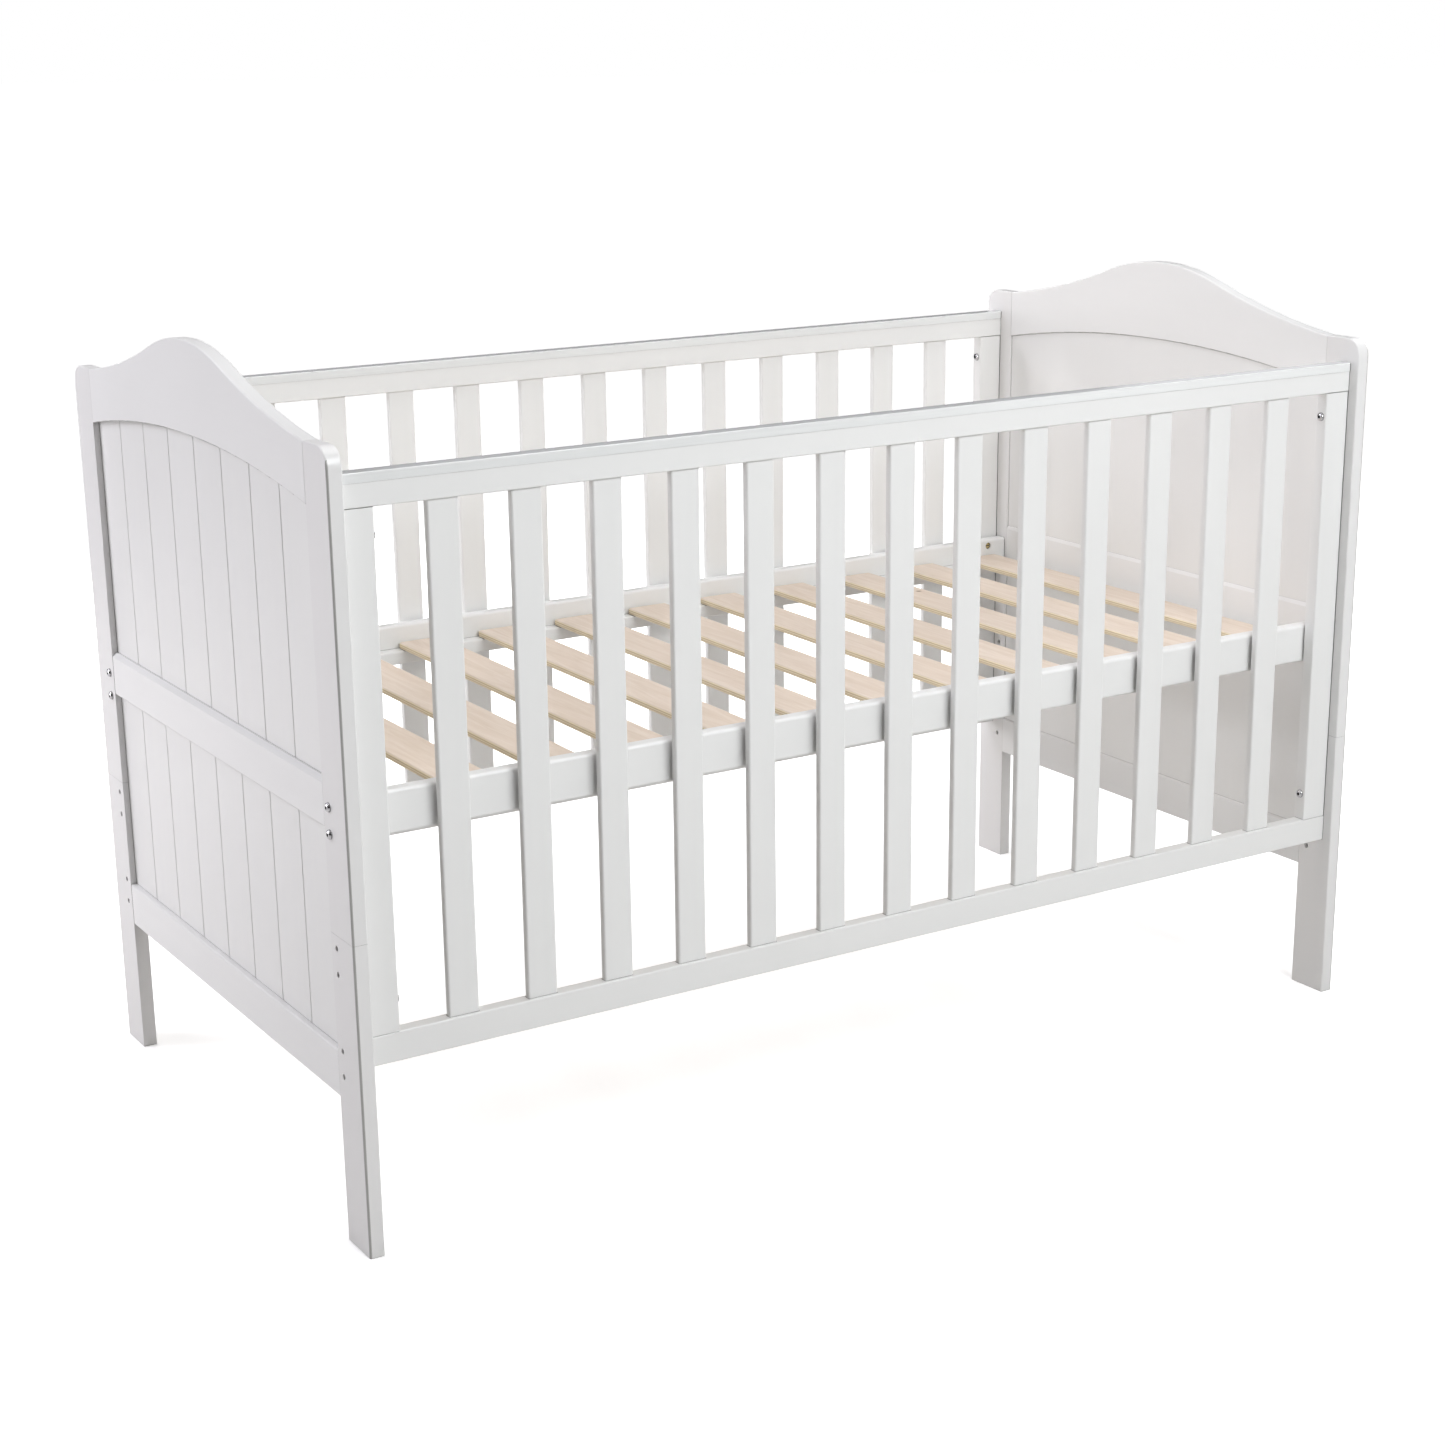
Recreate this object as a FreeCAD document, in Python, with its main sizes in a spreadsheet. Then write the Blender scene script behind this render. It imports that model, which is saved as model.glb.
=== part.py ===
import FreeCAD, Part

import os

import Sketcher
from FreeCAD import Placement, Rotation, Vector

# Baby cot bed for a 1400 x 700 mm mattress, in millimetres.
# Origin: on the floor, under the middle of the crib. +X runs along the crib, -Y is its front, +Z is up.
# Two boarded end panels carry two fixed slatted sides and a slatted base that bolts on at three heights.

doc = FreeCAD.newDocument("baby_crib")
dims = doc.addObject("Spreadsheet::Sheet", "dims")

# alias, value, what it sets
DIMENSIONS = [
    ("overall_length", 1450, "outer face to outer face of the two end panels"),
    ("overall_width", 777, "front edge of the front posts to back edge of the rear posts"),
    # end panels
    ("post_width", 58, "post, across the end panel"),
    ("end_thick", 18, "thickness of posts and end rails"),
    ("post_height", 897, "floor to post top"),
    ("post_corner", 22, "radius of the post's outer top corner"),
    ("leg_height", 366, "floor to the joint between leg and upper post"),
    ("arris", 2, "rounding of handled edges"),
    ("joint_ease", 0.8, "small rounding where two boards butt"),
    ("nut_slot_wide", 1.4, "width of the screwdriver slot in a barrel nut"),
    ("joint_kerf", 0.7, "width of the fine line left where a straight rail meets a post"),
    ("joint_kerf_deep", 1.2, "depth of that line"),
    ("lower_round", 1.5, "rounding of the lower edges that overhang a panel"),
    ("crest_peak", 966, "floor to the top of the camel-back crest"),
    ("crown_radius", 335, "radius of the crest's convex middle"),
    ("shoulder_radius", 1050, "radius of the crest's hollow shoulders"),
    ("arch_end_height", 830.5, "floor to the crest's lower edge at the posts"),
    ("arch_rise", 28.5, "rise of the arch under the crest"),
    ("mid_rail_low", 484, "floor to the underside of the mid rail"),
    ("mid_rail_tall", 54, "height of the mid rail"),
    ("mid_bevel", 5, "height of the bevels on the mid rail's top edges"),
    ("mid_bevel_share", 0.66, "share of the rail's outer lip that the bevel takes"),
    ("mid_inner_bevel", 2, "depth of the bevel on the inner side"),
    ("end_rail_low", 173, "floor to the underside of the end's bottom rail"),
    ("end_rail_tall", 55, "height of the end's bottom rail"),
    ("end_rail_bevel", 1.5, "height of the bevels on the bottom rail's top edges"),
    ("end_rail_bevel_share", 0.2, "share of the rail's outer lip that the bevel takes"),
    ("rail_setback", 0.4, "mid and bottom rails lie this far behind the posts"),
    ("panel_inner_recess", 2.5, "inner face of the post to inner face of the panel"),
    ("panel_thick", 7.5, "panel thickness"),
    ("panel_tongue", 6, "panel edge held in its grooves"),
    ("groove_spare", 0.5, "groove deeper than the tongue"),
    ("board_count", 8, "boards marked on each panel"),
    ("board_shift", 6, "board pattern shifted towards the back"),
    ("vee_wide", 2.4, "width of the vee grooves"),
    ("vee_deep", 1.9, "depth of the vee grooves"),
    ("dowel_dia", 8, "wooden dowels"),
    ("dowel_long", 40, "length of the rail dowels"),
    ("dowel_spare", 1, "each dowel hole deeper than its half dowel"),
    ("crest_dowel_rise", 20, "arch end to the lower crest dowel"),
    ("crest_dowel_gap", 30, "between the two crest dowels"),
    ("rail_dowel_rise", 11.5, "rail underside to its lower dowel"),
    ("rail_dowel_gap", 29, "between the two dowels of a rail"),
    ("leg_dowel_long", 50, "length of the leg dowels"),
    ("leg_dowel_edge", 13, "post edge to the first leg dowel"),
    ("leg_dowel_gap", 17, "between the two leg dowels"),
    # slatted sides
    ("side_setback", 14.6, "front edge of the post to the face of the side"),
    ("side_thick", 18, "thickness of side rails and stiles"),
    ("stile_width", 38, "stile width"),
    ("top_rail_low", 829, "floor to the underside of the top rail"),
    ("top_rail_tall", 36, "height of the top rail"),
    ("low_rail_low", 218, "floor to the underside of the side's bottom rail"),
    ("low_rail_tall", 35, "height of the side's bottom rail"),
    ("spindle_count", 13, "spindles in each side"),
    ("spindle_width", 36.6, "spindle width"),
    ("spindle_thick", 10, "spindle thickness"),
    ("spindle_round", 2.5, "rounding of the spindle's long edges"),
    ("tenon_long", 10, "spindle end housed in a rail"),
    ("mortise_spare", 0.5, "mortise deeper than the tenon"),
    ("cover_wall", 1.2, "wall of the clip-on teething cover"),
    ("cover_skirt", 9.5, "cover's reach down the rail's faces"),
    ("cover_gap", 1, "cover's end to the post"),
    # slatted base
    ("base_gap", 1.8, "side to base rail"),
    ("base_rail_thick", 19, "thickness of the base's long rails"),
    ("base_rail_tall", 50, "height of the base's long rails"),
    ("base_rail_round", 4, "rounding of the base rail's long edges"),
    ("base_end_gap", 1, "base rail's end to the post"),
    ("ledger_width", 18, "ledger under the slat ends, across"),
    ("ledger_tall", 18, "ledger under the slat ends, height"),
    ("slat_count", 12, "slats"),
    ("slat_width", 61, "slat width"),
    ("slat_thick", 9, "slat thickness"),
    ("slat_round", 2.5, "rounding of the slat's edges"),
    ("slat_corner", 4, "rounding of the slat's corners"),
    ("slat_end_gap", 2, "slat's end to the base rail"),
    ("slat_first_gap", 21.5, "end panel to the first slat"),
    ("pin_dia", 1.8, "pins up through the ledger into the slats"),
    ("pin_long", 22, "pin length"),
    # bolts
    ("bolt_dia", 6, "M6 bolts"),
    ("bolt_hole", 6.8, "hole for a bolt"),
    ("head_dia", 10.5, "button head diameter"),
    ("head_tall", 3.3, "button head height"),
    ("socket_flats", 4, "hexagon socket across flats"),
    ("socket_deep", 2, "hexagon socket depth"),
    ("base_bolt_long", 60, "base bolt length under the head"),
    ("base_bolt_gap", 30, "between the two bolts of a pair"),
    ("base_high", 494.5, "floor to the middle of the top pair of bolts"),
    ("base_mid", 335.5, "floor to the middle of the middle pair of holes"),
    ("base_low", 216.5, "floor to the middle of the low pair of holes"),
    ("nut_dia", 10, "barrel nut diameter"),
    ("nut_long", 14, "barrel nut length"),
    ("nut_from_end", 32, "post's inner face to the barrel nut"),
    ("side_bolt_long", 50, "side bolt length under the head"),
    ("side_bolt_drop", 30.5, "top rail's underside to the upper side bolt"),
    ("side_bolt_rise", 35.2, "bottom rail's top to the lower side bolt"),
    ("insert_dia", 9, "threaded insert diameter"),
    ("insert_long", 13, "threaded insert length"),
]
for row, (alias, value, note) in enumerate(DIMENSIONS, start=1):
    dims.set(f"A{row}", alias)
    dims.set(f"B{row}", str(value))
    dims.set(f"C{row}", note)
    dims.setAlias(f"B{row}", alias)

# Sizes that follow from the ones above, kept in the same sheet as formulas.
DERIVED = [
    ("inner_length", "=overall_length - 2 * end_thick"),
    ("rail_span", "=overall_width - 2 * post_width"),
    ("panel_recess", "=end_thick - panel_thick - panel_inner_recess"),
    ("bolt_line", "=side_setback + side_thick + base_gap + base_rail_thick / 2"),
    ("side_bolt_line", "=side_setback + side_thick / 2"),
    ("side_bolt_top", "=top_rail_low - side_bolt_drop"),
    ("side_bolt_low", "=low_rail_low + low_rail_tall + side_bolt_rise"),
    ("stile_long", "=top_rail_low - low_rail_low - low_rail_tall"),
    ("spindle_gap", "=(inner_length - 2 * stile_width - spindle_count * spindle_width) / (spindle_count + 1)"),
    ("spindle_pitch", "=spindle_width + spindle_gap"),
    ("first_spindle", "=stile_width + spindle_gap"),
    ("base_rail_long", "=inner_length - 2 * base_end_gap"),
    ("base_rail_low", "=base_high - base_rail_tall / 2"),
    ("base_inside", "=overall_width - 2 * (bolt_line + base_rail_thick / 2)"),
    ("slat_long", "=base_inside - 2 * slat_end_gap"),
    ("slat_pitch", "=(inner_length - 2 * slat_first_gap - slat_width) / (slat_count - 1)"),
    ("board_pitch", "=rail_span / board_count"),
    ("arch_radius", "=((rail_span / 2) ^ 2 + arch_rise ^ 2) / (2 * arch_rise)"),
    ("panel_arch_drop", "=arch_radius - sqrt(arch_radius ^ 2 - (rail_span / 2 + panel_tongue) ^ 2)"),
    ("panel_end_height", "=arch_end_height + arch_rise + panel_tongue - panel_arch_drop"),
    ("mid_rail_top", "=mid_rail_low + mid_rail_tall"),
    ("end_rail_top", "=end_rail_low + end_rail_tall"),
    ("groove_deep", "=panel_tongue + groove_spare"),
    ("dowel_hole_deep", "=dowel_long / 2 + dowel_spare"),
    ("leg_dowel_hole_deep", "=leg_dowel_long / 2 + dowel_spare"),
]
for row, (alias, formula) in enumerate(DERIVED, start=len(DIMENSIONS) + 2):
    dims.set(f"A{row}", alias)
    dims.set(f"B{row}", formula)
    dims.setAlias(f"B{row}", alias)
doc.recompute()

ALIASES = [entry[0] for entry in DIMENSIONS + DERIVED]
sub_parts = []


def expr(words):
    """A formula in the sheet's aliases, written as an expression that any object can hold."""
    for sign in "()+*/^-":
        words = words.replace(sign, f" {sign} ")
    return " ".join(f"dims.{word}" if word in ALIASES else word for word in words.split())


def size_of(words):
    """The value of a formula now, for a first guess of where a curve lies."""
    return float(dims.evalExpression(expr(words)))


def origin_feature(body, role):
    return next(feature for feature in body.Origin.OriginFeatures if feature.Role == role)


def new_body(label):
    """An empty body that may hold several like solids."""
    body = doc.addObject("PartDesign::Body", label)
    body.Label = label
    body.AllowCompound = True
    sub_parts.append(body)
    return body


def place(piece, along="0", across="0", up="0", turned=False):
    """Puts a piece at its distances from the crib's left front corner on the floor.

    A turned piece is swung half a turn about the crib's middle, so its distances run from the right
    rear corner: the right end and the rear side are the left end and the front side turned round.
    """
    sign = "" if turned else "-"
    if turned:
        piece.Placement = Placement(Vector(), Rotation(Vector(0, 0, 1), 180))
    minus = "-" if turned else "+"
    piece.setExpression(".Placement.Base.x", expr(f"{sign}overall_length / 2 {minus} ({along})"))
    piece.setExpression(".Placement.Base.y", expr(f"{sign}overall_width / 2 {minus} ({across})"))
    piece.setExpression(".Placement.Base.z", expr(up))


def sketch_on(body, role, lift=None):
    """A sketch on one of the body's own origin planes, lifted off it along the plane's normal."""
    sketch = body.newObject("Sketcher::SketchObject", f"{body.Label}_sketch")
    sketch.AttachmentSupport = [(origin_feature(body, role), "")]
    sketch.MapMode = "FlatFace"
    if lift is not None:
        sketch.setExpression(".AttachmentOffset.Base.z", expr(lift))
    return sketch


def hold_point(sketch, geometry, end, across, up):
    """Ties one end of a line or arc to two distances from the sketch's origin."""
    for kind, axis_line, distance in (("DistanceX", -2, across), ("DistanceY", -1, up)):
        if distance == "0":
            sketch.addConstraint(Sketcher.Constraint("PointOnObject", geometry, end, axis_line))
        else:
            index = sketch.addConstraint(Sketcher.Constraint(kind, -1, 1, geometry, end, size_of(distance)))
            sketch.setExpression(f"Constraints[{index}]", expr(distance))


def polygon(sketch, corners):
    """A closed outline through corners, each a pair of formulas."""
    first = sketch.GeometryCount
    points = [Vector(size_of(across), size_of(up), 0) for across, up in corners]
    count = len(points)
    for index in range(count):
        sketch.addGeometry(Part.LineSegment(points[index], points[(index + 1) % count]))
    for index in range(count):
        follower = first + (index + 1) % count
        sketch.addConstraint(Sketcher.Constraint("Coincident", first + index, 2, follower, 1))
    for index, (across, up) in enumerate(corners):
        hold_point(sketch, first + index, 1, across, up)


def rectangle(sketch, left, low, right, high):
    polygon(sketch, [(left, low), (right, low), (right, high), (left, high)])


def circle(sketch, across, up, diameter):
    radius = f"({diameter}) / 2"
    centre = Vector(size_of(across), size_of(up), 0)
    index = sketch.addGeometry(Part.Circle(centre, Vector(0, 0, 1), size_of(radius)))
    hold_point(sketch, index, 3, across, up)
    held = sketch.addConstraint(Sketcher.Constraint("Radius", index, size_of(radius)))
    sketch.setExpression(f"Constraints[{held}]", expr(radius))


def pad(body, sketch, length, backwards=False, both_ways=False):
    feature = body.newObject("PartDesign::Pad", f"{body.Label}_pad")
    feature.Profile = sketch
    feature.setExpression("Length", expr(length))
    feature.Reversed = backwards
    feature.Midplane = both_ways
    doc.recompute()
    return feature


def pocket(body, sketch, depth=None, forwards=False):
    """Cuts a sketch into the body, and stops if nothing came away. With no depth it cuts right through."""
    before = body.Tip.Shape.Volume
    feature = body.newObject("PartDesign::Pocket", f"{body.Label}_pocket")
    feature.Profile = sketch
    feature.Reversed = forwards
    if depth is None:
        feature.Type = "ThroughAll"
    else:
        feature.setExpression("Length", expr(depth))
    doc.recompute()
    if not feature.Shape.Volume < before - 1e-3:
        raise RuntimeError(f"{feature.Label} cuts nothing")
    return feature


def round_edges(body, radius, wanted, bevel=False):
    """Rounds, or bevels, the edges of the body so far whose middle point and direction are wanted."""
    base = body.Tip
    names = []
    for index, edge in enumerate(base.Shape.Edges, start=1):
        if edge.Degenerated:
            continue
        middle_at = (edge.FirstParameter + edge.LastParameter) / 2
        point = edge.valueAt(middle_at)
        heading = edge.tangentAt(middle_at)
        if wanted(point, heading):
            names.append(f"Edge{index}")
    if not names:
        raise RuntimeError(f"{body.Label} has no edges to round")
    kind = "PartDesign::Chamfer" if bevel else "PartDesign::Fillet"
    feature = body.newObject(kind, f"{body.Label}_edges")
    feature.Base = (base, names)
    feature.setExpression("Size" if bevel else "Radius", expr(radius))
    doc.recompute()
    return feature


def repeat(body, axis, step, count):
    """Repeats the whole body so far along one of its own axes."""
    feature = body.newObject("PartDesign::LinearPattern", f"{body.Label}_row")
    feature.TransformMode = "Whole shape"
    feature.Direction = (origin_feature(body, axis), [""])
    feature.setExpression("Length", expr(f"({step}) * ({count} - 1)"))
    feature.setExpression("Occurrences", expr(count))
    body.Tip = feature
    doc.recompute()
    return feature


def mirror_body(body, role):
    """Repeats the whole body so far on the other side of one of its own planes."""
    feature = body.newObject("PartDesign::Mirrored", f"{body.Label}_mirror")
    feature.TransformMode = "Whole shape"
    feature.MirrorPlane = (origin_feature(body, role), [""])
    body.Tip = feature
    doc.recompute()
    return feature


def mirrored_part(label, source):
    """A sub-part that is another one mirrored from the crib's front to its back."""
    copy = doc.addObject("Part::Mirroring", label)
    copy.Label = label
    copy.Source = source
    copy.Normal = Vector(0, 1, 0)
    sub_parts.append(copy)
    return copy


def near(value, target, slack=0.05):
    return abs(value - target) < slack


# ---------------------------------------------------------------- end panels
def upper_post(label, turned):
    """Post above the leg joint, its outer top corner rounded, bored for bolts and dowels."""
    body = new_body(label)
    tall = "post_height - leg_height"
    outline = sketch_on(body, "YZ_Plane")
    rectangle(outline, "0", "0", "post_width", tall)
    pad(body, outline, "end_thick")
    top = size_of(tall)
    width = size_of("post_width")
    round_edges(body, "post_corner", lambda p, d: near(p.y, 0) and near(p.z, top) and near(abs(d.x), 1))
    round_edges(body, "arris", lambda p, d: near(d.x, 0) and p.y < width - 1 and p.z > 1)
    round_edges(body, "joint_ease", lambda p, d: near(p.y, width) and near(abs(d.z), 1))
    panel_groove(body, "0", "arch_end_height + groove_deep - leg_height")
    base_holes(body, "base_high - leg_height")
    insert_hole(body, "side_bolt_top - leg_height")
    crest_dowel = "arch_end_height + crest_dowel_rise - leg_height"
    mid_dowel = "mid_rail_low + rail_dowel_rise - leg_height"
    post_dowel_holes(body, [crest_dowel, f"{crest_dowel} + crest_dowel_gap"])
    post_dowel_holes(body, [mid_dowel, f"{mid_dowel} + rail_dowel_gap"])
    leg_dowel_holes(body, "0", upwards=True)
    place(body, up="leg_height", turned=turned)
    return body


def leg(label, turned):
    """Leg below the joint, with the two lower pairs of base holes."""
    body = new_body(label)
    outline = sketch_on(body, "YZ_Plane")
    rectangle(outline, "0", "0", "post_width", "leg_height")
    pad(body, outline, "end_thick")
    tall = size_of("leg_height")
    width = size_of("post_width")
    round_edges(body, "arris", lambda p, d: near(p.y, 0) and near(abs(d.z), 1))
    round_edges(body, "joint_ease", lambda p, d: near(p.y, width) and near(abs(d.z), 1))
    round_edges(body, "joint_ease / 2", lambda p, d: near(p.z, tall), bevel=True)
    round_edges(body, "joint_ease / 2", lambda p, d: near(p.z, 0), bevel=True)
    panel_groove(body, "end_rail_top - groove_deep", "leg_height")
    base_holes(body, "base_mid")
    base_holes(body, "base_low")
    insert_hole(body, "side_bolt_low")
    low_dowel = "end_rail_low + rail_dowel_rise"
    post_dowel_holes(body, [low_dowel, f"{low_dowel} + rail_dowel_gap"])
    leg_dowel_holes(body, "leg_height", upwards=False)
    place(body, turned=turned)
    return body


def panel_groove(body, low, high):
    """Groove in the post's inner edge that holds the panels."""
    outline = sketch_on(body, "YZ_Plane", lift="panel_recess")
    rectangle(outline, "post_width - groove_deep", low, "post_width", high)
    pocket(body, outline, "panel_thick", forwards=True)


def base_holes(body, middle):
    """One pair of holes right through the post, for the base bolts."""
    outline = sketch_on(body, "YZ_Plane")
    for side in ("-", "+"):
        circle(outline, "bolt_line", f"{middle} {side} base_bolt_gap / 2", "bolt_hole")
    pocket(body, outline, forwards=True)


def insert_hole(body, height):
    """Blind hole in the post's inner face, for a threaded insert."""
    outline = sketch_on(body, "YZ_Plane", lift="end_thick")
    circle(outline, "side_bolt_line", height, "insert_dia")
    pocket(body, outline, "insert_long")


def post_dowel_holes(body, heights):
    """Dowel holes in the post's inner edge."""
    outline = sketch_on(body, "XZ_Plane", lift="-post_width")
    for height in heights:
        circle(outline, "end_thick / 2", height, "dowel_dia")
    pocket(body, outline, "dowel_hole_deep", forwards=True)


def leg_dowel_holes(body, face, upwards):
    """Two dowel holes that join leg and upper post end to end."""
    outline = sketch_on(body, "XY_Plane", lift=None if face == "0" else face)
    circle(outline, "end_thick / 2", "leg_dowel_edge", "dowel_dia")
    circle(outline, "end_thick / 2", "leg_dowel_edge + leg_dowel_gap", "dowel_dia")
    pocket(body, outline, "leg_dowel_hole_deep", forwards=upwards)


def arc_through(sketch, centre, radius, start, end, anticlockwise=True):
    """An arc of a circle from start to end."""
    circle_curve = Part.Circle(centre, Vector(0, 0, 1), radius)
    first = circle_curve.parameter(start)
    last = circle_curve.parameter(end)
    if anticlockwise:
        return sketch.addGeometry(Part.ArcOfCircle(circle_curve, first, last))
    return sketch.addGeometry(Part.ArcOfCircle(circle_curve, last, first))


def bind_radius(sketch, geometry, radius):
    index = sketch.addConstraint(Sketcher.Constraint("Radius", geometry, size_of(radius)))
    sketch.setExpression(f"Constraints[{index}]", expr(radius))


def arch_line(sketch, half, end_height, rise, radius):
    """The arch: one arc over the whole span, its two ends level and its middle on the centre line."""
    reach = size_of(half)
    height = size_of(end_height)
    centre = Vector(0, height + size_of(rise) - size_of(radius), 0)
    start = Vector(reach, height, 0)
    end = Vector(-reach, height, 0)
    arc = arc_through(sketch, centre, size_of(radius), start, end)
    hold_point(sketch, arc, 1, half, end_height)
    hold_point(sketch, arc, 2, f"-({half})", end_height)
    bind_radius(sketch, arc, radius)
    return arc


def crest_rail(label, turned):
    """Camel-back rail: convex crown, hollow shoulders running out to the post tops, arched below."""
    body = new_body(label)
    half = "rail_span / 2"
    low = "arch_end_height"
    outline = sketch_on(body, "YZ_Plane")
    reach = size_of(half)
    low_z = size_of(low)
    high_z = size_of("post_height")
    crown_r = size_of("crown_radius")
    shoulder_r = size_of("shoulder_radius")
    crown_centre = Vector(0, size_of("crest_peak") - crown_r, 0)
    end_point = Vector(reach, high_z, 0)
    # The shoulder's centre is one shoulder radius from the post's top and both radii from the crown's centre.
    apart = crown_centre.distanceToPoint(end_point)
    along = (apart ** 2 + (crown_r + shoulder_r) ** 2 - shoulder_r ** 2) / (2 * apart)
    aside = ((crown_r + shoulder_r) ** 2 - along ** 2) ** 0.5
    heading = (end_point - crown_centre).normalize()
    shoulder_centre = crown_centre + heading * along + Vector(-heading.y, heading.x, 0) * aside
    meeting = crown_centre + (shoulder_centre - crown_centre).normalize() * crown_r

    def flipped(point):
        return Vector(-point.x, point.y, 0)

    crown = arc_through(outline, crown_centre, crown_r, meeting, flipped(meeting))
    right = arc_through(outline, shoulder_centre, shoulder_r, meeting, end_point)
    left = arc_through(outline, flipped(shoulder_centre), shoulder_r, flipped(end_point), flipped(meeting))
    arch = arch_line(outline, half, low, "arch_rise", "arch_radius")
    side_right = outline.addGeometry(Part.LineSegment(Vector(reach, low_z, 0), end_point))
    side_left = outline.addGeometry(Part.LineSegment(Vector(-reach, low_z, 0), flipped(end_point)))
    for one, one_end, other, other_end in ((crown, 1, right, 1), (crown, 2, left, 2)):
        outline.addConstraint(Sketcher.Constraint("Tangent", one, one_end, other, other_end))
    for one, one_end, other, other_end in (
        (right, 2, side_right, 2),
        (left, 1, side_left, 2),
        (arch, 1, side_right, 1),
        (arch, 2, side_left, 1),
    ):
        outline.addConstraint(Sketcher.Constraint("Coincident", one, one_end, other, other_end))
    hold_point(outline, side_right, 2, half, "post_height")
    hold_point(outline, side_left, 2, f"-({half})", "post_height")
    hold_point(outline, crown, 3, "0", "crest_peak - crown_radius")
    bind_radius(outline, crown, "crown_radius")
    bind_radius(outline, right, "shoulder_radius")
    bind_radius(outline, left, "shoulder_radius")
    pad(body, outline, "end_thick")
    round_edges(body, "arris", lambda p, d: near(d.x, 0) and p.z > high_z + 0.5)
    round_edges(body, "joint_ease", lambda p, d: near(abs(p.y), reach) and near(abs(d.z), 1))
    arch_top = low_z + size_of("arch_rise")
    round_edges(body, "lower_round", lambda p, d: near(p.z, arch_top, 2) and near(d.x, 0))
    slot = sketch_on(body, "YZ_Plane", lift="panel_recess")
    upper = arch_line(slot, half, "arch_end_height + groove_deep", "arch_rise", "arch_radius")
    right_end = slot.addGeometry(Part.LineSegment(Vector(reach, 0, 0), Vector(reach, 1, 0)))
    left_end = slot.addGeometry(Part.LineSegment(Vector(-reach, 0, 0), Vector(-reach, 1, 0)))
    foot = slot.addGeometry(Part.LineSegment(Vector(-reach, 0, 0), Vector(reach, 0, 0)))
    for one, one_end, other, other_end in (
        (upper, 1, right_end, 2),
        (upper, 2, left_end, 2),
        (foot, 1, left_end, 1),
        (foot, 2, right_end, 1),
    ):
        slot.addConstraint(Sketcher.Constraint("Coincident", one, one_end, other, other_end))
    hold_point(slot, foot, 1, f"-({half})", "arch_end_height - groove_deep")
    hold_point(slot, foot, 2, half, "arch_end_height - groove_deep")
    pocket(body, slot, "panel_thick", forwards=True)
    heights = ["arch_end_height + crest_dowel_rise", "arch_end_height + crest_dowel_rise + crest_dowel_gap"]
    rail_dowel_holes(body, heights, centred=True)
    place(body, across="overall_width / 2", turned=turned)
    return body


def rail_dowel_holes(body, heights, centred=False):
    """Dowel holes in both ends of an end-panel rail that runs across from the front post."""
    near_end = "-rail_span / 2" if centred else "0"
    far_end = "rail_span / 2" if centred else "rail_span"
    for face, forwards in ((near_end, False), (far_end, True)):
        outline = sketch_on(body, "XZ_Plane", lift=None if face == "0" else f"-({face})")
        for height in heights:
            circle(outline, "end_thick / 2", height, "dowel_dia")
        pocket(body, outline, "dowel_hole_deep", forwards=forwards)


def cross_rail(label, turned, low, tall, bevel, bevel_share, inner_bevel, groove_below):
    """Straight rail across an end panel, bevelled on top and grooved for the panels."""
    body = new_body(label)
    front = "panel_recess"
    back = "panel_recess + panel_thick"
    corners = [("rail_setback", "0")]
    if groove_below:
        corners += [(front, "0"), (front, "groove_deep"), (back, "groove_deep"), (back, "0")]
    corners += [
        ("end_thick", "0"),
        ("end_thick", f"{tall} - {bevel}"),
        (f"end_thick - {inner_bevel}", tall),
        (back, tall),
        (back, f"{tall} - groove_deep"),
        (front, f"{tall} - groove_deep"),
        (front, tall),
        (f"rail_setback + (panel_recess - rail_setback) * {bevel_share}", tall),
        ("rail_setback", f"{tall} - {bevel}"),
    ]
    outline = sketch_on(body, "XZ_Plane")
    polygon(outline, corners)
    pad(body, outline, "rail_span", backwards=True)
    setback = size_of("rail_setback")
    thick = size_of("end_thick")
    round_edges(body, "lower_round", lambda p, d: near(p.z, 0) and near(abs(d.y), 1) and near(p.x, setback))
    round_edges(body, "joint_ease", lambda p, d: near(p.z, 0) and near(abs(d.y), 1) and near(p.x, thick))
    kerf = sketch_on(body, "YZ_Plane")
    rectangle(kerf, "0", f"-({tall})", "joint_kerf", f"2 * {tall}")
    rectangle(kerf, "rail_span - joint_kerf", f"-({tall})", "rail_span", f"2 * {tall}")
    pocket(body, kerf, "joint_kerf_deep + rail_setback", forwards=True)
    rail_dowel_holes(body, ["rail_dowel_rise", "rail_dowel_rise + rail_dowel_gap"])
    place(body, across="post_width", up=low, turned=turned)
    return body


def vee_grooves(body, start_height, centred):
    """Vee grooves down the panel's outer face, one between each two boards."""
    outline = sketch_on(body, "XY_Plane", lift=start_height)
    middle = "board_shift" if centred else "rail_span / 2 + board_shift"
    boards = int(size_of("board_count"))
    for index in range(1, boards):
        line = f"{middle} + ({index} - board_count / 2) * board_pitch"
        polygon(
            outline,
            [
                ("panel_recess", f"{line} - vee_wide / 2"),
                ("panel_recess + vee_deep", line),
                ("panel_recess", f"{line} + vee_wide / 2"),
            ],
        )
    pocket(body, outline, forwards=True)


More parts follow.
